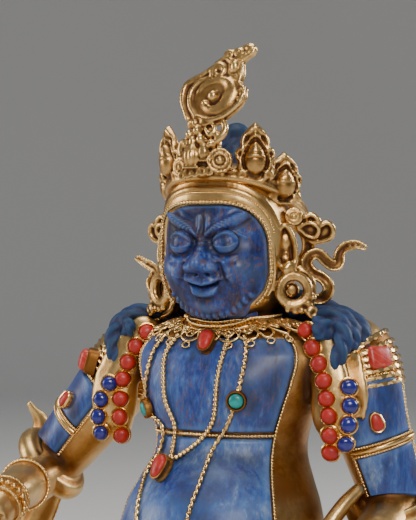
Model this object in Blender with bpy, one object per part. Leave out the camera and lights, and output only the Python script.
# Seated Jambhala in gilt copper, inlaid with lapis lazuli and set with coral and turquoise.
# The figure faces -Y, its own left hand is towards +X, and the lotus base stands on z = 0.
import math

import bmesh
import bpy
import numpy as np
from mathutils import Vector
from mathutils.bvhtree import BVHTree

# Driving sizes, in metres.
FIGURE_HEIGHT = 0.266  # seat to the crown's tip
BASE_HEIGHT = 0.034
BASE_HALF_WIDTH = 0.094
BASE_HALF_DEPTH = 0.064
PETAL_SWELL = 0.005
FOOTREST_RADIUS = 0.017
FOOTREST_HEIGHT = 0.014
CLEARANCE = 0.0003  # open joint between any two pieces
INLAY_THICKNESS = 0.0014
FACE_STONE_THICKNESS = 0.0040
WIRE_RADIUS = 0.0008
NECKLACE_RADIUS = 0.0011
CORAL_BEAD_RADIUS = 0.0037
LAPIS_BEAD_RADIUS = 0.0036
TURQUOISE_RADIUS = 0.0032
DROP_LENGTH = 0.0100
STONE_DOME = 0.62  # a cabochon's height as a share of its radius
BEZEL_WALL = 0.0006
BEZEL_LIFT = 0.0013  # how far a setting stands off the metal under it

# The figure is a free form: its places are shares, 266 of them from the seat to the crown's tip.
SHARE = FIGURE_HEIGHT / 266
SEAT = BASE_HEIGHT + CLEARANCE

# Torso sections: height, middle, half width, front depth, back depth.
TORSO = np.array(
    [
        (0, 4, 36, 28, 26),
        (14, 3, 44, 38, 32),
        (30, 1, 46, 43, 34),
        (48, -2, 45.5, 44.5, 33),
        (64, -3.5, 43.5, 43, 32),
        (76, -2.5, 40.5, 39.5, 31),
        (86, 0, 36, 34, 29),
        (95, 3, 32.5, 29.5, 26),
        (104, 4.5, 33, 28.5, 25),
        (114, 5, 37, 29.5, 25),
        (126, 5, 42, 29, 24),
        (136, 5, 44, 26, 23),
        (143, 5, 38.5, 21.5, 21),
        (146.5, 4.5, 28, 18, 18.5),
        (149, 3.5, 19, 15, 15.5),
        (153, 2.5, 17, 13.5, 14.5),
        (162, 2, 16, 13, 14),
    ],
    float,
)
TORSO_HEIGHTS = [0, 14, 38, 60, 82, 102.8, 105.6, 115, 125, 135, 142.5, 146.5, 149, 153, 162]
TORSO_STEPS = 24
PANEL_STEPS = 3.5  # the stones reach this many steps to each side of the front
BELLY_RINGS = (2, 5)
CHEST_RINGS = (6, 10)
BELT_HEIGHT = 104.2

# Head: a rounded block, whose face stone lies in a pocket.
HEAD_CENTRE = np.array([0, 2.0, 178.0])
HEAD_HALF_WIDTH = 25.5
HEAD_HALF_DEPTH = 26.5
HEAD_RISE = 37.0
HEAD_DROP = 27.5
HEAD_SQUARENESS = 2.6
FACE_DIP = math.radians(-4)
FACE_SIDE = math.radians(60)
FACE_UP = math.radians(44)
FACE_DOWN = math.radians(50)
FACE_CORNER = 2.7
HEAD_STEPS = 18

# The strings of beads hang evenly when seen from this far round to the figure's left.
STRING_VIEW = math.radians(28)

GILT = ("gilt_copper", (0.72, 0.46, 0.17), 0.32, 1.0)
LAPIS = ("lapis_lazuli", (0.06, 0.15, 0.50), 0.35, 0.0)
CORAL = ("red_coral", (0.70, 0.05, 0.04), 0.30, 0.0)
TURQUOISE = ("turquoise", (0.0, 0.48, 0.47), 0.35, 0.0)


def clear_scene():
    for thing in list(bpy.data.objects):
        bpy.data.objects.remove(thing)


def finish(kind):
    name, colour, roughness, metallic = kind
    material = bpy.data.materials.get(name) or bpy.data.materials.new(name)
    material.use_nodes = True
    shader = material.node_tree.nodes["Principled BSDF"]
    shader.inputs["Base Color"].default_value = (*colour, 1)
    shader.inputs["Roughness"].default_value = roughness
    shader.inputs["Metallic"].default_value = metallic
    return material


def placed(points):
    """Shares of the figure to metres above the seat."""
    return np.asarray(points, float) * SHARE + np.array([0, 0, SEAT])


def unit(vectors):
    vectors = np.asarray(vectors, float)
    return vectors / np.maximum(np.linalg.norm(vectors, axis=-1, keepdims=True), 1e-12)


def make(name, points, faces, kind, hidden=False):
    mesh = bpy.data.meshes.new(name)
    mesh.from_pydata([tuple(p) for p in np.asarray(points).reshape(-1, 3)], [], faces)
    shape = bmesh.new()
    shape.from_mesh(mesh)
    bmesh.ops.remove_doubles(shape, verts=shape.verts, dist=1e-6)
    bmesh.ops.recalc_face_normals(shape, faces=shape.faces)
    shape.to_mesh(mesh)
    shape.free()
    mesh.materials.append(finish(kind))
    thing = bpy.data.objects.new(name, mesh)
    bpy.context.scene.collection.objects.link(thing)
    if hidden:
        thing.hide_render = True
        thing.display_type = "WIRE"
    return thing


def loft_faces(rings, steps):
    """Quads between rings, and one flat cap at each end."""
    faces = []
    for i in range(rings - 1):
        for j in range(steps):
            k = (j + 1) % steps
            faces.append((i * steps + j, i * steps + k, (i + 1) * steps + k, (i + 1) * steps + j))
    faces.append(tuple(range(steps)))
    faces.append(tuple(range((rings - 1) * steps, rings * steps)))
    return faces


def loft(name, rings, kind, hidden=False):
    rings = np.asarray(rings, float)
    return make(name, rings, loft_faces(rings.shape[0], rings.shape[1]), kind, hidden)


def curve(points, count):
    """A smooth line of so many points through the given ones."""
    points = np.asarray(points, float)
    ends = np.vstack([2 * points[0] - points[1], points, 2 * points[-1] - points[-2]])
    places = np.linspace(0, len(points) - 1, count)
    index = np.minimum(places.astype(int), len(points) - 2)
    t = (places - index)[:, None]
    a, b, c, d = (ends[index + k] for k in range(4))
    return 0.5 * (2 * b + (c - a) * t + (2 * a - 5 * b + 4 * c - d) * t**2 + (3 * (b - c) + d - a) * t**3)


def table(rows, at):
    """Smoothly read columns of a table of sections at one or more values of its first column."""
    places = np.interp(at, rows[:, 0], np.arange(len(rows)))
    fine = curve(np.column_stack([np.arange(len(rows)), rows[:, 1:]]), 60 * len(rows))
    return np.column_stack([np.interp(places, fine[:, 0], column) for column in fine[:, 1:].T])


def swept(points, radii, sides, count, flat=1.0, up=(0, 0, 1), blunt=True):
    """Rings carried along a smooth line: its radius varies, and flat squeezes it along up."""
    line = curve(points, count)
    radius = curve(np.asarray(radii, float)[:, None], count)[:, 0]
    if blunt:
        ends = unit(np.array([line[0] - line[1], line[-1] - line[-2]]))
        first, last = line[:1] + ends[:1] * radius[0] * 0.45, line[-1:] + ends[1:] * radius[-1] * 0.45
        line = np.vstack([first, line, last])
        radius = np.concatenate([radius[:1] * 0.55, radius, radius[-1:] * 0.55])
    along = unit(np.gradient(line, axis=0))
    side = unit(np.cross(along, np.asarray(up, float)))
    over = np.cross(side, along)
    turn = np.linspace(0, 2 * math.pi, sides, endpoint=False)
    round_x = np.cos(turn)[None, :, None] * side[:, None, :]
    round_y = np.sin(turn)[None, :, None] * over[:, None, :] * flat
    return line[:, None, :] + radius[:, None, None] * (round_x + round_y)


def skin(rings, i, j, lift):
    """Points on a lofted surface at ring i and step j, raised off it by lift."""
    steps = rings.shape[1]

    def read(a, b):
        a = np.clip(a, 0, len(rings) - 1)
        low = np.minimum(np.floor(a).astype(int), len(rings) - 2)
        part = (a - low)[..., None]
        left = np.floor(b).astype(int)
        share = (b - left)[..., None]
        left, right = left % steps, (left + 1) % steps
        below = rings[low, left] * (1 - share) + rings[low, right] * share
        above = rings[low + 1, left] * (1 - share) + rings[low + 1, right] * share
        return below * (1 - part) + above * part

    i, j = np.broadcast_arrays(np.asarray(i, float), np.asarray(j, float))
    across = read(i, j + 0.5) - read(i, j - 0.5)
    along = read(i + 0.5, j) - read(i - 0.5, j)
    outward = unit(np.cross(across, along))
    middle = rings[np.clip(np.round(i).astype(int), 0, len(rings) - 1)].mean(axis=-2)
    point = read(i, j)
    outward *= np.sign(((point - middle) * outward).sum(axis=-1, keepdims=True))
    return point + outward * lift


def slab(name, inner, outer, kind):
    """A closed plate between two grids of the same size."""
    rows, columns = inner.shape[:2]
    size = rows * columns
    faces = []
    for i in range(rows - 1):
        for j in range(columns - 1):
            a, b = i * columns + j, i * columns + j + 1
            c, d = b + columns, a + columns
            faces += [(a, b, c, d), (size + a, size + d, size + c, size + b)]
    edge = [(0, j) for j in range(columns)] + [(i, columns - 1) for i in range(1, rows)]
    edge += [(rows - 1, j) for j in range(columns - 2, -1, -1)] + [(i, 0) for i in range(rows - 2, 0, -1)]
    edge = [i * columns + j for i, j in edge]
    for a, b in zip(edge, edge[1:] + edge[:1]):
        faces.append((a, b, size + b, size + a))
    return make(name, np.vstack([inner.reshape(-1, 3), outer.reshape(-1, 3)]), faces, kind)


def fuse(target, others):
    """Cast or solder the others onto the target as one solid."""
    group = bpy.data.collections.new(target.name + "_forms")
    bpy.context.scene.collection.children.link(group)
    for other in others:
        other.hide_render = True
        other.display_type = "WIRE"
        bpy.context.scene.collection.objects.unlink(other)
        group.objects.link(other)
    union = target.modifiers.new("fused", "BOOLEAN")
    union.operation = "UNION"
    union.solver = "EXACT"
    union.operand_type = "COLLECTION"
    union.collection = group


def surface_of(thing):
    bpy.context.view_layer.update()
    return BVHTree.FromObject(thing, bpy.context.evaluated_depsgraph_get())


def torso_rings():
    rows = table(TORSO, TORSO_HEIGHTS)
    turn = -math.pi / 2 + (np.arange(TORSO_STEPS) + 0.5) * 2 * math.pi / TORSO_STEPS
    middle, width, front, back = (rows[:, k : k + 1] for k in range(4))
    depth = np.where(np.sin(turn)[None, :] < 0, front, back)
    x = width * np.cos(turn)
    y = middle + depth * np.sin(turn)
    z = np.broadcast_to(np.array(TORSO_HEIGHTS, float)[:, None], x.shape)
    # Two low breasts, and the fold between them.
    lobes = np.exp(-(((np.abs(x) - 17) / 10) ** 2) - ((z - 122) / 13) ** 2) * (y < middle)
    return placed(np.stack([x, y - 1.6 * lobes, z], axis=-1))


def torso_place(turns, heights):
    """Ring and step of the torso for an angle round from the front, in degrees, and a height."""
    ring = np.interp(heights, TORSO_HEIGHTS, np.arange(len(TORSO_HEIGHTS)))
    return ring, np.asarray(turns, float) / 360 * TORSO_STEPS - 0.5


def face_border(turn):
    """How far from the face's axis its stone reaches, towards each side."""
    height = np.where(np.sin(turn) > 0, FACE_UP, FACE_DOWN)
    reach = (np.abs(np.cos(turn)) / FACE_SIDE) ** FACE_CORNER + (np.abs(np.sin(turn)) / height) ** FACE_CORNER
    return reach ** (-1 / FACE_CORNER)


def head_ray(reach, turn):
    """Unit directions from the head's middle: reach from the face's axis, turn around it."""
    side = np.sin(reach) * np.cos(turn)
    up = np.sin(reach) * np.sin(turn)
    ahead = np.cos(reach)
    y = -(ahead * math.cos(FACE_DIP) - up * math.sin(FACE_DIP))
    z = ahead * math.sin(FACE_DIP) + up * math.cos(FACE_DIP)
    return np.stack([side, y, z], axis=-1)


def head_radius(ray):
    """Length of each ray to the head's surface, in shares."""
    x, y, z = np.abs(ray[..., 0]), np.abs(ray[..., 1]), ray[..., 2]
    rise = np.where(z > 0, HEAD_RISE, HEAD_DROP)
    n = HEAD_SQUARENESS
    return ((x / HEAD_HALF_WIDTH) ** n + (y / HEAD_HALF_DEPTH) ** n + (np.abs(z) / rise) ** n) ** (-1 / n)


def head_points(reach, turn, lift):
    """Points over the head's surface, raised by lift in metres."""
    ray = head_ray(reach, turn)
    radius = head_radius(ray)[..., None] * SHARE + np.asarray(lift)[..., None]
    return placed(HEAD_CENTRE) + ray * radius


def hill(x, z, middle, width, height=None):
    """A rounded hill, in shares, for a feature of the face."""
    return np.exp(-(((x - middle[0]) / width) ** 2) - ((z - middle[1]) / (height or width)) ** 2)


def face_relief(x, z):
    """The wrathful face as heights over the head, from its place across and up."""
    side = np.abs(x)
    brow = np.exp(-(((z - 9.5 - 0.42 * side - 1.5 * np.sin(side * 0.45)) / 2.2) ** 2)) * (side < 21)
    relief = 2.4 * brow * np.clip((side - 0.5) / 3, 0, 1)
    relief += 3.4 * hill(side, z, (10, 4.5), 4.0, 3.7)
    relief -= 2.2 * hill(side, z, (10.5, 4.5), 7.5, 6.0)
    relief += 5.2 * hill(x, z, (0, -3.5), 3.6, 4.6) + 2.6 * hill(side, z, (4.6, -5.0), 2.5)
    relief += 2.2 * hill(x, z, (0, 3), 2.4, 5)
    relief += 2.4 * hill(side, z, (14, -7), 6.5)
    relief += 2.2 * hill(x, z, (0, -11.2), 8, 1.8) + 2.2 * hill(x, z, (0, -16.2), 6.5, 1.9)
    relief -= 1.8 * hill(x, z, (0, -13.6), 7.5, 1.3)
    relief += 2.8 * hill(x, z, (0, -21), 7, 3.6)
    return relief * SHARE


def head_form():
    """The head's core, whose front is a pocket for the face stone."""
    turn = np.arange(HEAD_STEPS) * 2 * math.pi / HEAD_STEPS
    border = face_border(turn)
    rings = []
    for share in (0.5, 1.0):
        rings.append(head_points(share * border, turn, np.full_like(turn, -FACE_STONE_THICKNESS)))
    for share, lift in ((0.0, 0.0), (0.1, 0.0018), (0.22, 0.0022), (0.45, 0.0), (0.7, 0.0), (0.93, 0.0)):
        lip = lift * np.clip(1 + 1.5 * np.sin(turn), 0, 1)
        rings.append(head_points(border + share * (math.pi - border), turn, lip))
    return loft("head_form", rings, GILT, hidden=True)


def face_stone():
    turn = np.arange(HEAD_STEPS) * 2 * math.pi / HEAD_STEPS
    edge = 1 - 1.5 * CLEARANCE / (HEAD_HALF_WIDTH * SHARE)
    border = face_border(turn) * edge
    floor = CLEARANCE - FACE_STONE_THICKNESS
    rings = [head_points(share * border, turn, np.full_like(turn, floor)) for share in (0.5, 1.0)]
    for share in (1.0, 0.84, 0.69, 0.56, 0.44, 0.31, 0.19, 0.06):
        reach = share * border
        flat = head_points(reach, turn, np.zeros_like(turn))
        place = (flat - placed(HEAD_CENTRE)) / SHARE
        fade = min(1.0, (1 - share) / 0.12)
        rings.append(head_points(reach, turn, fade * face_relief(place[:, 0], place[:, 2])))
    return loft("lapis_face", rings, LAPIS)


def face_rim_wire():
    turn = np.linspace(0, 2 * math.pi, 23)[:-1]
    border = face_border(turn)
    beyond = (WIRE_RADIUS + CLEARANCE) / (HEAD_HALF_WIDTH * SHARE)
    line = head_points(border + beyond, turn, np.full_like(turn, WIRE_RADIUS + 2 * CLEARANCE))
    return closed_wire("face_rim_wire", line, WIRE_RADIUS, line - placed(HEAD_CENTRE))


def section(along, outward, radius, sides):
    """Corners of a wire's section across its run, with one corner or flat turned outwards."""
    over = unit(outward - (outward * along).sum(axis=-1, keepdims=True) * along)
    side = np.cross(along, over)
    turn = np.arange(sides) * 2 * math.pi / sides + (math.pi / 2 if sides % 2 else math.pi / sides)
    return radius * (np.cos(turn)[:, None] * side[:, None] + np.sin(turn)[:, None] * over[:, None])


def closed_wire(name, line, radius, outward, sides=3):
    """A round wire whose two ends meet."""
    along = unit(np.roll(line, -1, axis=0) - np.roll(line, 1, axis=0))
    rings = line[:, None] + section(along, np.asarray(outward), radius, sides)
    count = len(line)
    faces = []
    for i in range(count):
        for j in range(sides):
            k, m = (j + 1) % sides, (i + 1) % count
            faces.append((i * sides + j, i * sides + k, m * sides + k, m * sides + j))
    return make(name, rings, faces, GILT)


def wire(name, line, radius, outward, sides=3):
    """An open wire along points that are already on their surface."""
    along = unit(np.gradient(line, axis=0))
    return loft(name, line[:, None] + section(along, outward, radius, sides), GILT)


def wire_on(name, rings, i, j, lift, radius):
    """A wire laid over a lofted surface."""
    low = skin(rings, i, j, lift)
    return wire(name, low, radius, skin(rings, i, j, lift + 0.001) - low)


def turned(name, centre, normal, up, profile, outline, kind, hidden=False):
    """Rings of one outline scaled and raised by a profile of (scale, height), round a normal."""
    normal = unit(normal)
    across = unit(np.cross(np.asarray(up, float), normal))
    upward = np.cross(normal, across)
    flat = outline[:, :1] * across + outline[:, 1:] * upward
    rings = [np.asarray(centre) + scale * flat + height * normal for scale, height in profile]
    return loft(name, rings, kind, hidden)


def circle(radius, sides=6):
    turn = (np.arange(sides) + 0.5) * 2 * math.pi / sides
    return radius * np.column_stack([np.cos(turn), np.sin(turn)])


def drop_outline(length, sides=8):
    """A teardrop with its point up, its round end about the origin."""
    turn = np.linspace(0, 2 * math.pi, sides, endpoint=False)
    reach = 0.34 * length * (1 + 0.95 * np.maximum(0, np.cos(turn)) ** 4)
    return np.column_stack([reach * np.sin(turn), reach * np.cos(turn)])


def rounded_block(width, height):
    turn = (np.arange(8) + 0.5) * math.pi / 4
    return np.column_stack([np.cos(turn) * width * 0.54, np.sin(turn) * height * 0.54])


def setting(name, centre, normal, up, outline, grow):
    """The metal plate that a stone sits on. It reaches down into what carries it."""
    scale = 1 + grow
    profile = [(scale, -2 * BEZEL_LIFT), (scale, BEZEL_LIFT)]
    return turned(name, centre, normal, up, profile, outline, GILT, hidden=True)


def stone(name, centre, normal, up, outline, dome, kind, seat=BEZEL_LIFT):
    low = seat + CLEARANCE
    profile = [(1.0, low), (0.92, low + 0.5 * dome), (0.45, low + dome)]
    return turned(name, centre, normal, up, profile, outline, kind)


# Arms: shoulder, elbow and wrist, in shares.
RIGHT_ARM = [
    (-28, 10, 130), (-48, 13, 136), (-71, 13, 111), (-92, 11, 87),
    (-95, -7, 78), (-88, -32, 76), (-86, -52, 68),
]
LEFT_ARM = [
    (28, 11, 130), (49, 15, 137), (57, 17, 106), (65, 19, 75), (66, -2, 62), (58, -28, 56), (50, -42, 55)
]
ARM_RADII = [12, 15.5, 15, 12.5, 11, 9, 7.5]
ARM_SIDES = 12
ARM_RINGS = 9


def arm_rings(points):
    return swept(placed(points), np.array(ARM_RADII) * SHARE, ARM_SIDES, ARM_RINGS, up=(0, 1, 0.01))


def shoulder_drape(name, side, out):
    """The gilt fall of cloth in front of each armpit, which carries the strings of beads."""
    points = [(41, -1, 145), (49 + out, -5, 126), (51 + out, -6, 108), (49 + out, 0, 90)]
    points = [(side * x, y, z) for x, y, z in points]
    rings = swept(placed(points), np.array([8, 10.5, 12, 6]) * SHARE, 7, 4, flat=0.44, up=(0.3 * side, 1, 0))
    return loft(name, rings, GILT, hidden=True)


def ball(name, centre, size, steps=7, rings=4):
    """An egg form, in shares."""
    dip = (np.arange(rings) + 0.5) / rings * math.pi
    turn = np.arange(steps) * 2 * math.pi / steps
    shape = np.stack(
        [
            np.sin(dip)[:, None] * np.cos(turn),
            np.sin(dip)[:, None] * np.sin(turn),
            np.cos(dip)[:, None] * np.ones(steps) / math.cos(dip[0]),
        ],
        axis=-1,
    )
    return loft(name, placed(np.array(centre) + shape * np.array(size, float)), GILT, hidden=True)


def limb(name, points, radii, sides=10, count=10, flat=1.0, up=(0, 0, 1)):
    rings = swept(placed(points), np.array(radii, float) * SHARE, sides, count, flat, up)
    return loft(name, rings, GILT, hidden=True)


def foot_spot():
    """Where the hanging foot rests: outside the base, on the footrest."""
    x = -0.62 * BASE_HALF_WIDTH
    rim = BASE_HALF_DEPTH * math.sqrt(1 - (x / BASE_HALF_WIDTH) ** 2)
    y = -(rim + PETAL_SWELL + FOOTREST_RADIUS + 0.004)
    return np.array([x, y, FOOTREST_HEIGHT])


def in_shares(point):
    return (np.asarray(point) - np.array([0, 0, SEAT])) / SHARE


def right_leg():
    """Thigh out to the knee, then the shin down past the base to the footrest."""
    sole = in_shares(foot_spot() + np.array([0, 0, CLEARANCE]))
    ankle = sole + np.array([0, 8, 12])
    shin = sole + np.array([-6, 4, 30])
    points = [(-16, -4, 17), (-50, -26, 19), (-74, -48, 19), shin, ankle]
    leg = limb("right_leg", points, [17, 18, 16, 11, 8.5], 8, 8, up=(0.3, 0.3, 1))
    heel = sole + np.array([0, 9, 5.5])
    toes = sole + np.array([0, -13, 4.2])
    foot = limb("right_foot", [heel, (heel + toes) / 2, toes], [6.0, 7.5, 6.5], 6, 3, flat=0.55)
    return [leg, foot]


def left_leg():
    """Folded flat on the seat."""
    thigh = limb("left_thigh", [(16, -4, 17), (52, -14, 18), (80, -30, 15)], [17, 18, 14.5], 8, 5)
    shin = limb("left_shin", [(80, -30, 14), (56, -52, 12.5), (26, -56, 11)], [14, 12, 8.5], 8, 5)
    foot = limb("left_foot", [(26, -56, 9.5), (12, -57, 8), (2, -56, 8)], [7.5, 8, 6], 6, 3, flat=0.85)
    return [thigh, shin, foot]


def hand(name, wrist, palm, knuckles, tips, spread):
    """A palm and the closed row of fingers."""
    forms = [limb(name + "_palm", [wrist, palm], [7.0, 8.0], 7, 2, flat=0.62)]
    forms.append(limb(name + "_fingers", [palm, knuckles, tips], [8.0, 8.6, 7.0], 6, 4, flat=0.36, up=spread))
    return forms


def right_hand():
    """Held out over the knee, its fingers under a citron."""
    forms = hand("right_hand", (-86, -52, 67), (-86, -60, 61), (-86, -68, 54), (-85, -74, 44), (0, -0.6, 0.8))
    return forms + [ball("citron", (-85, -71, 59), (8.5, 7.5, 9.5))]


def left_hand():
    """Closed round the mongoose, whose head looks up at the front of the belly."""
    forms = hand("left_hand", (51, -42, 55), (46, -47, 53), (41, -55, 52), (32, -58, 51), (0.3, -1, 0))
    back = [(32, -59, 71), (35, -55, 67), (37, -52, 60), (42, -50, 45)]
    back += [(52, -50, 34), (66, -46, 30), (80, -42, 30)]
    forms.append(limb("mongoose", back, [3.0, 5.0, 6.0, 6.5, 7.5, 6.0, 1.8], 6, 7))
    return forms


def scarf():
    """Wound round each elbow, with a free end rising behind it."""
    forms = []
    for side, elbow, lean in ((-1, (-95, 9, 84), (0.75, 0.1, 0.6)), (1, (66, 18, 74), (0.1, -0.5, 0.95))):
        along = unit(np.array(lean))
        first = unit(np.cross(along, (0, 0.3, 1)))
        second = np.cross(along, first)
        turn = np.linspace(0, 2 * math.pi, 9)[:-1]
        around = np.cos(turn)[:, None] * first + np.sin(turn)[:, None] * second
        forms.append(roll_of(f"scarf_roll_{side}", placed(np.array(elbow) + 12.4 * around), 6.0 * SHARE))
        x, y, z = elbow
        end = [
            (x + side * 4, y + 9, z - 2),
            (x + side * 13, y + 13, z + 8),
            (x + side * 15, y + 14, z + 17),
            (x + side * 21, y + 13, z + 25),
        ]
        forms.append(limb(f"scarf_end_{side}", end, [8, 7, 4.6, 1.6], 5, 4, flat=0.35, up=(0, 1, 0.2)))
        fall = [(x + side * 3, y + 6, z - 6), (x + side * 14, y + 8, z - 30), (x + side * 20, y + 4, z - 58)]
        forms.append(limb(f"scarf_fall_{side}", fall, [8, 8, 5], 5, 4, flat=0.35, up=(0, 1, 0)))
    return forms


def roll_of(name, line, radius):
    outward = line - line.mean(axis=0)
    thing = closed_wire(name, line, radius, outward, sides=5)
    thing.hide_render = True
    return thing


def ears():
    """Long ears with heavy rings in the lobes."""
    forms = []
    for side in (-1, 1):
        line = [(side * 26, 0, 189), (side * 28, 0, 182), (side * 28, 0, 171)]
        forms.append(limb(f"ear_{side}", line, [4.6, 5.4, 4.0], 6, 4, flat=0.62, up=(side, -0.45, 0)))
        facing = unit(np.array([side * 0.62, -0.78, 0]))
        across = np.cross((0, 0, 1), facing)
        turn = np.linspace(0, 2 * math.pi, 9)[:-1]
        centre = np.array([side * 28.5, 1.0, 163.5])
        upright = np.array([0, 0, 1.08])
        ring = centre + 5.7 * (np.cos(turn)[:, None] * across + np.sin(turn)[:, None] * upright)
        forms.append(roll_of(f"ear_ring_{side}", placed(ring), 2.1 * SHARE))
    return forms


def hair():
    """Combed up to a topknot behind the crown, and falling in locks on the shoulders and back."""
    forms = [limb("topknot", [(0, 5, 206), (0, 7, 224), (0, 7, 231)], [12, 10.5, 7.5], 7, 3, up=(0, 1, 0))]
    nape = [(0, 20, 170), (0, 25, 152), (0, 26, 128)]
    forms.append(limb("nape", nape, [18, 20, 13], 8, 4, flat=0.42, up=(0, 1, 0)))
    for side in (-1, 1):
        lock = [(side * 41, 7, 146), (side * 51, -1, 144), (side * 51, -7, 132)]
        forms.append(limb(f"lock_{side}", lock, [5, 6, 2.6], 6, 4))
    return forms


def lap_cloth():
    """The pleated end of the skirt, which falls over the seat between the legs."""
    turn = np.arange(12) * math.pi / 6
    rings = []
    for height, reach in ((0, 23.0), (5, 22.1), (14, 13.8)):
        pleat = reach * (1 + 0.07 * np.cos(6 * turn))
        rings.append(np.column_stack([pleat * np.sin(turn), -36 - pleat * np.cos(turn), np.full(12, height)]))
    return loft("lap_cloth", placed(rings), GILT, hidden=True)


def rows_between(first, last):
    """The two ends and every ring of the loft between them."""
    return np.array([first, *range(math.floor(first) + 1, math.ceil(last)), last], float)


def arm_panels(side, rings, top, band, bottom, middle, ends):
    """Two curved stones on the outside of the upper arm, the band between them, and their edging."""
    lift = 2 * CLEARANCE
    inner, outer = ends
    columns = middle + np.array([inner, -1, 0, 1, outer])
    spacing = np.linalg.norm(rings[4].mean(axis=0) - rings[3].mean(axis=0))
    joint = 2.2 * (WIRE_RADIUS + CLEARANCE) / spacing
    for name, first, last in (("upper", top, band - joint), ("lower", band + joint, bottom)):
        i, j = np.meshgrid(rows_between(first, last), columns, indexing="ij")
        low, high = skin(rings, i, j, lift), skin(rings, i, j, lift + INLAY_THICKNESS)
        slab(f"lapis_{side}_arm_{name}", low, high, LAPIS)
    aside = 2.0 * (WIRE_RADIUS + CLEARANCE) / (2 * math.pi * ARM_RADII[2] * SHARE) * ARM_SIDES
    rows = rows_between(top - joint, bottom)
    over = [(top - joint, j) for j in (-1.0, 0.0, 1.0)]
    path = np.array([(i, inner - aside) for i in rows[::-1]] + over + [(i, outer + aside) for i in rows])
    wire_on(f"{side}_arm_wire", rings, path[:, 0], middle + path[:, 1], WIRE_RADIUS + 1.5 * lift, WIRE_RADIUS)
    across = middle + np.linspace(inner + 0.3, outer - 0.3, 5)
    over_stone = lift + INLAY_THICKNESS + CLEARANCE
    band_wire = wire_on(
        f"{side}_arm_band", rings, np.full(5, band), across, over_stone + WIRE_RADIUS, WIRE_RADIUS * 1.2
    )
    place = (top + band) / 2 + 0.1
    centre = float(middle)
    seat = skin(rings, place, centre, lift + INLAY_THICKNESS)
    normal = skin(rings, place, centre, 0.01) - skin(rings, place, centre, 0.0)
    up = skin(rings, place - 1, centre, 0.0) - skin(rings, place, centre, 0.0)
    outline = drop_outline(0.72 * DROP_LENGTH)
    grow = 1 + BEZEL_WALL / (0.25 * DROP_LENGTH)
    profile = [(grow, 1.5 * CLEARANCE), (grow, BEZEL_LIFT)]
    plate = turned(f"{side}_drop_setting", seat, normal, up, profile, outline, GILT, True)
    rows = np.linspace(place, band, 3)
    stem_lift = over_stone + 0.5 * WIRE_RADIUS
    stem = wire_on(f"{side}_drop_stem", rings, rows, np.full(3, centre), stem_lift, WIRE_RADIUS)
    fuse(band_wire, [plate, stem])
    stone(f"coral_drop_{side}_arm", seat, normal, up, outline, 0.0014, CORAL)


def torso_stones(rings):
    """The belly, chest and throat stones."""
    columns = np.arange(-PANEL_STEPS, PANEL_STEPS + 1) - 0.5
    for name, (first, last) in (("lapis_belly", BELLY_RINGS), ("lapis_chest", CHEST_RINGS)):
        i, j = np.meshgrid(np.arange(first, last + 1), columns, indexing="ij")
        slab(name, skin(rings, i, j, CLEARANCE), skin(rings, i, j, CLEARANCE + INLAY_THICKNESS), LAPIS)


def torso_wires(rings):
    """Edging wires beside the stones, and the belt wire between them."""
    aside = (WIRE_RADIUS + CLEARANCE) / (40 * SHARE) * TORSO_STEPS / (2 * math.pi) * 1.35
    i = np.arange(BELLY_RINGS[0], CHEST_RINGS[1] + 0.6, 1.0)
    for name, sign in (("left", 1), ("right", -1)):
        j = np.full_like(i, sign * (PANEL_STEPS + aside) - 0.5)
        wire_on(f"{name}_border_wire", rings, i, j, WIRE_RADIUS + CLEARANCE, WIRE_RADIUS)
    j = np.arange(-PANEL_STEPS, PANEL_STEPS + 1) - 0.5
    j[[0, -1]] += (0.1, -0.1)
    ring, _ = torso_place(0, BELT_HEIGHT)
    wire_on("belt_wire", rings, np.full(len(j), float(ring)), j, WIRE_RADIUS + CLEARANCE, WIRE_RADIUS)


def chest_line(points, count):
    """Ring and step along a smooth line given as degrees round from the front and heights."""
    line = curve(points, count)
    return torso_place(line[:, 0], line[:, 1])


def necklaces(rings):
    """The beaded string with its coral drop, and the two long chains with turquoise."""
    over = 2 * CLEARANCE + 2 * WIRE_RADIUS + CLEARANCE + NECKLACE_RADIUS
    left = [(-22, 141), (-24, 135), (-23.5, 126), (-23.5, 117), (-20, 108.5), (-22, 98)]
    right = [(-19, 92.5), (-3, 99.8), (5, 105.5), (10.5, 113), (11, 124), (11, 133), (13, 141)]
    i, j = chest_line(left + right, 19)
    string = wire_on("bead_necklace", rings, i, j, over, NECKLACE_RADIUS)
    fix_drop(string, "coral_drop_necklace", rings, -21.5, 90.5, over, DROP_LENGTH)
    lines = {
        "left": [(23, 141), (24, 131), (23.5, 119), (19, 108.8), (10, 97), (8, 84), (6, 70), (4, 56)],
        "right": [(-33, 141), (-38, 130), (-50, 114), (-34, 107), (-37, 97), (-41, 87), (-32, 77), (-25, 66)],
    }
    for side, points in lines.items():
        i, j = chest_line(points, 15)
        chain = wire_on(f"{side}_chain", rings, i, j, over, NECKLACE_RADIUS)
        i, j = torso_place(*np.array(points[2:3]).T)
        seat = skin(rings, i, j, over)[0]
        normal = skin(rings, i, j, over + 0.01)[0] - seat
        top = NECKLACE_RADIUS + CLEARANCE
        outline = circle(TURQUOISE_RADIUS)
        profile = [(1.25, -NECKLACE_RADIUS), (1.25, top)]
        plate = turned(f"{side}_turquoise_setting", seat, normal, (0, 0, 1), profile, outline, GILT, True)
        fuse(chain, [plate])
        stone(f"turquoise_{side}", seat, normal, (0, 0, 1), outline, 0.0018, TURQUOISE, seat=top)


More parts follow.
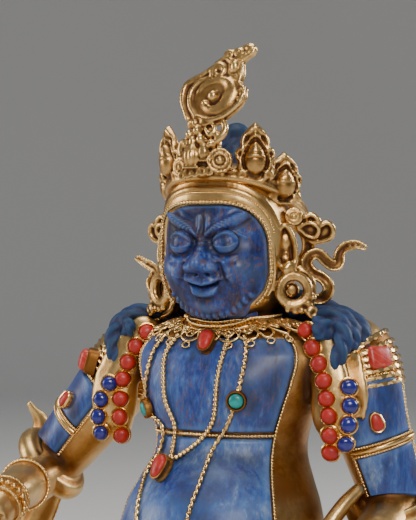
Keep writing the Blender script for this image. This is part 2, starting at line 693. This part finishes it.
def fix_drop(carrier, name, rings, turn, height, lift, length):
    """A coral drop in its setting, soldered to the carrier."""
    i, j = torso_place([turn], [height])
    seat = skin(rings, i, j, lift)[0]
    normal = skin(rings, i, j, lift + 0.01)[0] - seat
    outline = drop_outline(length) * np.array([1, -1.0])
    outline = outline[::-1]
    top = NECKLACE_RADIUS + CLEARANCE
    profile = [(1.18, -NECKLACE_RADIUS), (1.18, top)]
    plate = turned(name + "_setting", seat, normal, (0, 0, 1), profile, outline, GILT, True)
    fuse(carrier, [plate])
    stone(name, seat, normal, (0, 0, 1), outline, 0.0020, CORAL, seat=top)


def collar(rings):
    """The filigree collar: a scalloped band round the neck, lying on the stones."""
    turns = np.linspace(-115, 115, 15)
    drop = (4.5 + 2.0 * np.abs(np.sin(np.radians(turns) * 4.5))) * np.clip(1.3 - np.abs(turns) / 100, 0.45, 1)
    lift = 2 * CLEARANCE + INLAY_THICKNESS
    top = np.minimum(158.5 - 10.5 * np.cos(np.radians(turns)), 151)
    low_i, j = torso_place(turns, top - drop)
    high_i, _ = torso_place(turns, top)
    i = np.stack([high_i, low_i])
    j = np.stack([j, j])
    band = slab("necklace_collar", skin(rings, i, j, lift), skin(rings, i, j, lift + 0.0016), GILT)
    over = lift + NECKLACE_RADIUS + CLEARANCE
    fix_drop(band, "coral_drop_collar", rings, 0.3, 141.3, over, 0.92 * DROP_LENGTH)


def throat(rings):
    """The dark stone under the chin."""
    columns = np.arange(-4, 4)
    heights = np.array([149.2, 152.2])
    i, _ = torso_place(0, heights)
    i, j = np.meshgrid(i, columns, indexing="ij")
    slab("lapis_throat", skin(rings, i, j, CLEARANCE), skin(rings, i, j, CLEARANCE + INLAY_THICKNESS), LAPIS)


# Strings of round beads: across and up, in shares, as seen from STRING_VIEW.
RIGHT_CORALS = [
    (-35.4, 144.2), (-40, 138.4), (-43.4, 131.6), (-45.6, 124.4), (-46.5, 116), (-46.8, 108.3), (-46.2, 100.8)
]
RIGHT_LAPIS = [(-51.2, 122.5), (-54.4, 115.6), (-55.6, 108.3), (-54.6, 101.8)]
LEFT_CORALS = [
    (32, 146), (34, 139.6), (36.4, 133.2), (38, 126.6), (39, 119.8), (39.8, 112.9), (40.4, 106), (41.2, 99.2)
]
LEFT_LAPIS = [(47, 124.5), (47.4, 117.2), (46.6, 109.8), (45.6, 102.6)]
# Armlet stones on the outer shoulder: a carved block, an oval and a turquoise.
ARMLETS = {
    "left": ((65, 7, 136), (55, 10, 150), (62, 14, 145)),
    "right": ((-63, 5, 129), (-54, 8, 148), (-60, 11, 139)),
}


def seen(metal, across, up):
    """Where the metal is met when looking from STRING_VIEW, and its outward normal."""
    ahead = Vector((-math.sin(STRING_VIEW), math.cos(STRING_VIEW), 0))
    sideways = Vector((math.cos(STRING_VIEW), math.sin(STRING_VIEW), 0))
    start = sideways * across * SHARE - ahead * FIGURE_HEIGHT + Vector((0, 0, SEAT + up * SHARE))
    place, normal, _, _ = metal.ray_cast(start, ahead)
    blend = unit(np.array(normal) + 1.2 * np.array(-ahead))
    return np.array(place), blend


def bead_strings(metal):
    """The raised strips on the shoulder drapes, and the round stones that go on them."""
    strips, stones = [], []
    strings = (
        ("coral_right", RIGHT_CORALS, CORAL_BEAD_RADIUS, CORAL),
        ("lapis_right", RIGHT_LAPIS, LAPIS_BEAD_RADIUS, LAPIS),
        ("coral_left", LEFT_CORALS, CORAL_BEAD_RADIUS, CORAL),
        ("lapis_left", LEFT_LAPIS, LAPIS_BEAD_RADIUS, LAPIS),
    )
    for name, places, radius, kind in strings:
        seats = [seen(metal, across, up) for across, up in places]
        for number, (place, normal) in enumerate(seats, 1):
            outline = circle(0.86 * radius)
            stones.append((f"{name}_{number}", place, normal, outline, STONE_DOME * radius, kind))
        strips.append(strip(f"{name}_strip", seats, radius + BEZEL_WALL))
    return strips, stones


def strip(name, seats, reach):
    """A flat band under a row of stones, a little longer than the row at each end."""
    place = np.array([seat for seat, _ in seats])
    normal = unit([facing for _, facing in seats])
    along = unit(np.gradient(place, axis=0))
    place = np.vstack([place[:1] - 0.9 * along[:1] * reach, place, place[-1:] + 0.9 * along[-1:] * reach])
    normal = np.vstack([normal[:1], normal, normal[-1:]])
    along = unit(np.gradient(place, axis=0))
    share = np.where(np.arange(len(place)) % (len(place) - 1), 0.9, 0.5)
    side = unit(np.cross(along, normal)) * share[:, None] * reach
    high = place + normal * BEZEL_LIFT
    low = place - normal * 2.0 * BEZEL_LIFT
    rings = np.stack([low - side, low + side, high + side, high - side], axis=1)
    return loft(name, rings, GILT, hidden=True)


def armlets(metal):
    settings, stones = [], []
    for side, (block, oval, round_one) in ARMLETS.items():
        forms = (
            (f"coral_block_{side}", block, rounded_block(12.0 * SHARE, 9.5 * SHARE), 0.0040, CORAL),
            (f"coral_oval_{side}", oval, circle(0.0032), 0.0022, CORAL),
            (f"turquoise_armlet_{side}", round_one, circle(0.0030), 0.0018, TURQUOISE),
        )
        heart = Vector(placed((np.sign(block[0]) * 44, 16, block[2] - 6)))
        for name, place, outline, dome, kind in forms:
            ahead = (heart - Vector(placed(place))).normalized()
            start = heart - ahead * 0.05
            hit, _, _, _ = metal.ray_cast(start, ahead)
            seat, facing = np.array(hit), -np.array(ahead)
            grow = BEZEL_WALL / 0.0036
            settings.append(setting(name + "_setting", seat, facing, (0, 0, 1), outline, grow))
            stones.append((name, seat, facing, outline, dome, kind))
    return settings, stones


def set_stones(metal, stones):
    """Lower each stone onto the metal until the open joint is left under its highest point."""
    for name, place, normal, outline, dome, kind in stones:
        normal = unit(normal)
        across = unit(np.cross((0.0, 0.0, 1.0), normal))
        upward = np.cross(normal, across)
        heights = [0.0]
        dense = np.vstack([outline, (outline + np.roll(outline, 1, axis=0)) / 2])
        for share in (0.0, 0.25, 0.5, 0.75, 1.0, 1.1):
            for x, y in share * dense:
                start = place + x * across + y * upward + normal * 0.008
                hit, _, _, distance = metal.ray_cast(Vector(start), Vector(-normal), 0.016)
                if hit is not None:
                    heights.append(0.008 - distance)
        stone(name, place, normal, (0, 0, 1), outline, dome, kind, seat=max(heights) + 0.3 * CLEARANCE)


def figure():
    """The cast body, limbs, head and what was soldered to them, as one solid."""
    rings = torso_rings()
    body = loft("gilt_figure", rings, GILT)
    right, left = arm_rings(RIGHT_ARM), arm_rings(LEFT_ARM)
    forms = [loft("right_arm", right, GILT, True), loft("left_arm", left, GILT, True), head_form()]
    forms += [shoulder_drape("right_drape", -1, 2.5), shoulder_drape("left_drape", 1, -0.5), lap_cloth()]
    forms += right_leg() + left_leg() + right_hand() + left_hand() + scarf() + ears() + hair()
    fuse(body, forms)
    metal = surface_of(body)
    strips, beads = bead_strings(metal)
    settings, gems = armlets(metal)
    fuse(body, strips + settings)
    set_stones(surface_of(body), beads + gems)
    torso_stones(rings)
    torso_wires(rings)
    necklaces(rings)
    collar(rings)
    throat(rings)
    arm_panels("right", right, 3.45, 4.1, 4.8, -4, (-2.0, 1.4))
    arm_panels("left", left, 3.12, 3.92, 4.8, -2, (-1.45, 2.0))
    face_stone()
    face_rim_wire()


def crown_band():
    """A heavy ring round the head, tipped down at the back, and where each place on it lies."""
    turn = np.arange(20) * math.pi / 10
    rise = np.full(20, 0.5)
    for _ in range(40):
        ray = unit(np.stack([np.sin(turn), -np.cos(turn), rise], axis=-1))
        point = HEAD_CENTRE + ray * head_radius(ray)[:, None]
        flat = np.hypot(point[:, 0], point[:, 1] - HEAD_CENTRE[1])
        rise = 0.5 * rise + 0.5 * (198 - 0.42 * point[:, 1] - HEAD_CENTRE[2]) / flat
    radius = 1.8 * SHARE
    line = placed(point) + ray * (0.0025 + CLEARANCE + radius)
    return line, closed_wire("crown", line, radius, ray, sides=4)


def leaf_outline(width, height, sides=8):
    """A pointed leaf standing on the origin."""
    turn = np.linspace(0, 2 * math.pi, sides, endpoint=False)
    x = 0.5 * width * np.sin(turn) * (1 - 0.25 * np.cos(turn))
    z = 0.46 * height * (1 - np.cos(turn)) + 0.08 * height * np.maximum(0, -np.cos(turn)) ** 6
    return np.column_stack([x, z])


# How far a crown leaf turns away from the front, as a share of its own place round the head.
LEAF_FACING = 0.70


def crown_leaf(name, line, degrees, width, height):
    """One lotus leaf of the crown, standing on the band and leaning out a little."""
    turn = LEAF_FACING * math.radians(degrees)
    at = (degrees % 360) / 360 * len(line)
    place = np.array([np.interp(at, np.arange(len(line) + 1), np.append(axis, axis[0])) for axis in line.T])
    outward = np.array([math.sin(turn), -math.cos(turn), -0.12])
    outline = leaf_outline(width * SHARE, height * SHARE)
    middle = np.array([0, 0.42 * height * SHARE])
    inner = middle + (outline - middle) * 0.5
    centre = place + np.array([0, 0, -0.0004])
    back = turned(name, centre, outward, (0, 0, 1), [(1, -0.0012), (1, 0.0010)], outline, GILT, True)
    seat = centre + unit(outward) * 0.0008
    egg = turned(name + "_egg", seat, outward, (0, 0, 1), [(1, 0), (0.8, 0.0022)], inner, GILT, True)
    return [back, egg]


def disc(name, centre, outward, radius):
    profile = [(1, -0.0018), (1, 0.0010), (0.45, 0.0022)]
    return turned(name, placed(centre), outward, (0, 0, 1), profile, circle(radius * SHARE, 8), GILT, True)


def crown():
    """A ring with five leaves, a jewel cluster and flame at the front, and bows with ribbons."""
    line, band = crown_band()
    forms = []
    for degrees, width, height in ((0, 21, 22), (48, 16, 25), (-48, 16, 25), (79, 17, 21), (-79, 17, 21)):
        forms += crown_leaf(f"leaf_{degrees}", line, degrees, width, height)
    forms.append(ball("jewel", (0, -25.5, 216), (5.5, 5.0, 7.5)))
    forms.append(ball("jewel_low", (0, -25.0, 209.5), (7.0, 4.5, 3.5)))
    forms.append(ball("jewel_top", (0, -24.5, 226), (6.5, 4.0, 6.5)))
    flame = [(0, -24, 228), (1, -23, 238), (4, -21.5, 248)]
    flame += [(9, -18.5, 256), (13, -16.5, 261), (19, -14.5, 265)]
    forms.append(limb("flame", flame, [6, 12, 13, 7.5, 4, 1.5], 7, 9, flat=0.16, up=(0.2, 1, 0)))
    for side in (-1, 1):
        forms.append(disc(f"rosette_{side}", (side * 9.4, -25.0, 216), (side * 0.3, -1, 0), 4.6))
        forms.append(disc(f"ear_rosette_{side}", (side * 30.5, 1.0, 197), (side * 0.85, -0.5, 0), 4.2))
        bow = [(side * 31.5, 4, 197), (side * 38, 8, 193.5), (side * 44.5, 10, 189)]
        forms.append(limb(f"bow_{side}", bow, [3.0, 5.5, 4.5], 5, 4, flat=0.3, up=(0, 1, 0)))
        ribbon = [(32.5, 6, 195), (36, 9, 177), (39, 10, 165), (44, 12, 170), (43, 14, 179)]
        ribbon = [(side * x, y, z) for x, y, z in ribbon + [(48, 16, 184), (54, 19, 181)]]
        radii = [2.4, 2.6, 2.4, 2.2, 2.0, 1.8, 1.0]
        forms.append(limb(f"ribbon_{side}", ribbon, radii, 4, 12, flat=0.6, up=(0.2, 1, 0)))
    fuse(band, forms)


def lotus_base():
    """An oval stand of two rows of lotus petals, with a small lotus for the hanging foot.

    A petal spans two steps: one corner is its crest and the next the gap beside it."""
    steps = 48
    turn = (np.arange(steps) + 0.5) * 2 * math.pi / steps
    crest = np.arange(steps) % 2.0
    half = 1 - crest
    rows = (
        (0.00, 0.0, None),
        (0.09, 0.0, None),
        (0.22, 0.7, crest),
        (0.38, 0.2, crest),
        (0.48, -1.0, None),
        (0.60, 0.0, half),
        (0.76, 0.9, half),
        (0.90, -0.3, None),
        (1.00, -0.5, None),
    )
    rings = []
    for height, swell, wave in rows:
        grow = PETAL_SWELL * (swell if wave is None else 0.4 * swell + 0.9 * wave - 0.4)
        x = (BASE_HALF_WIDTH + grow) * np.cos(turn)
        y = (BASE_HALF_DEPTH + grow) * np.sin(turn)
        rings.append(np.column_stack([x, y, np.full(steps, height * BASE_HEIGHT)]))
    base = loft("lotus_base", rings, GILT)
    spot = foot_spot()
    lotus = [(0.9, 0), (1.0, 0.28), (0.74, 0.5), (1.0, 0.78), (0.9, 1.0)]
    turn = np.arange(12) * math.pi / 6
    round_one = np.column_stack([np.cos(turn), np.sin(turn)]) * FOOTREST_RADIUS
    rings = [np.column_stack([spot[:2] + round_one * s, np.full(12, h * FOOTREST_HEIGHT)]) for s, h in lotus]
    rest = loft("footrest", rings, GILT, hidden=True)
    inward = -unit(spot[:2]) * BASE_HALF_DEPTH * 0.55
    stem = []
    for reach in (0.0, 1.0):
        middle = spot[:2] + reach * inward
        across = np.array([-inward[1], inward[0]]) / np.linalg.norm(inward) * FOOTREST_RADIUS * 0.5
        near, far, high = middle - across, middle + across, 0.6 * FOOTREST_HEIGHT
        stem.append([(*near, 0), (*far, 0), (*far, high), (*near, high)])
    fuse(base, [rest, loft("footrest_stem", stem, GILT, hidden=True)])


def main():
    clear_scene()
    lotus_base()
    figure()
    crown()


main()
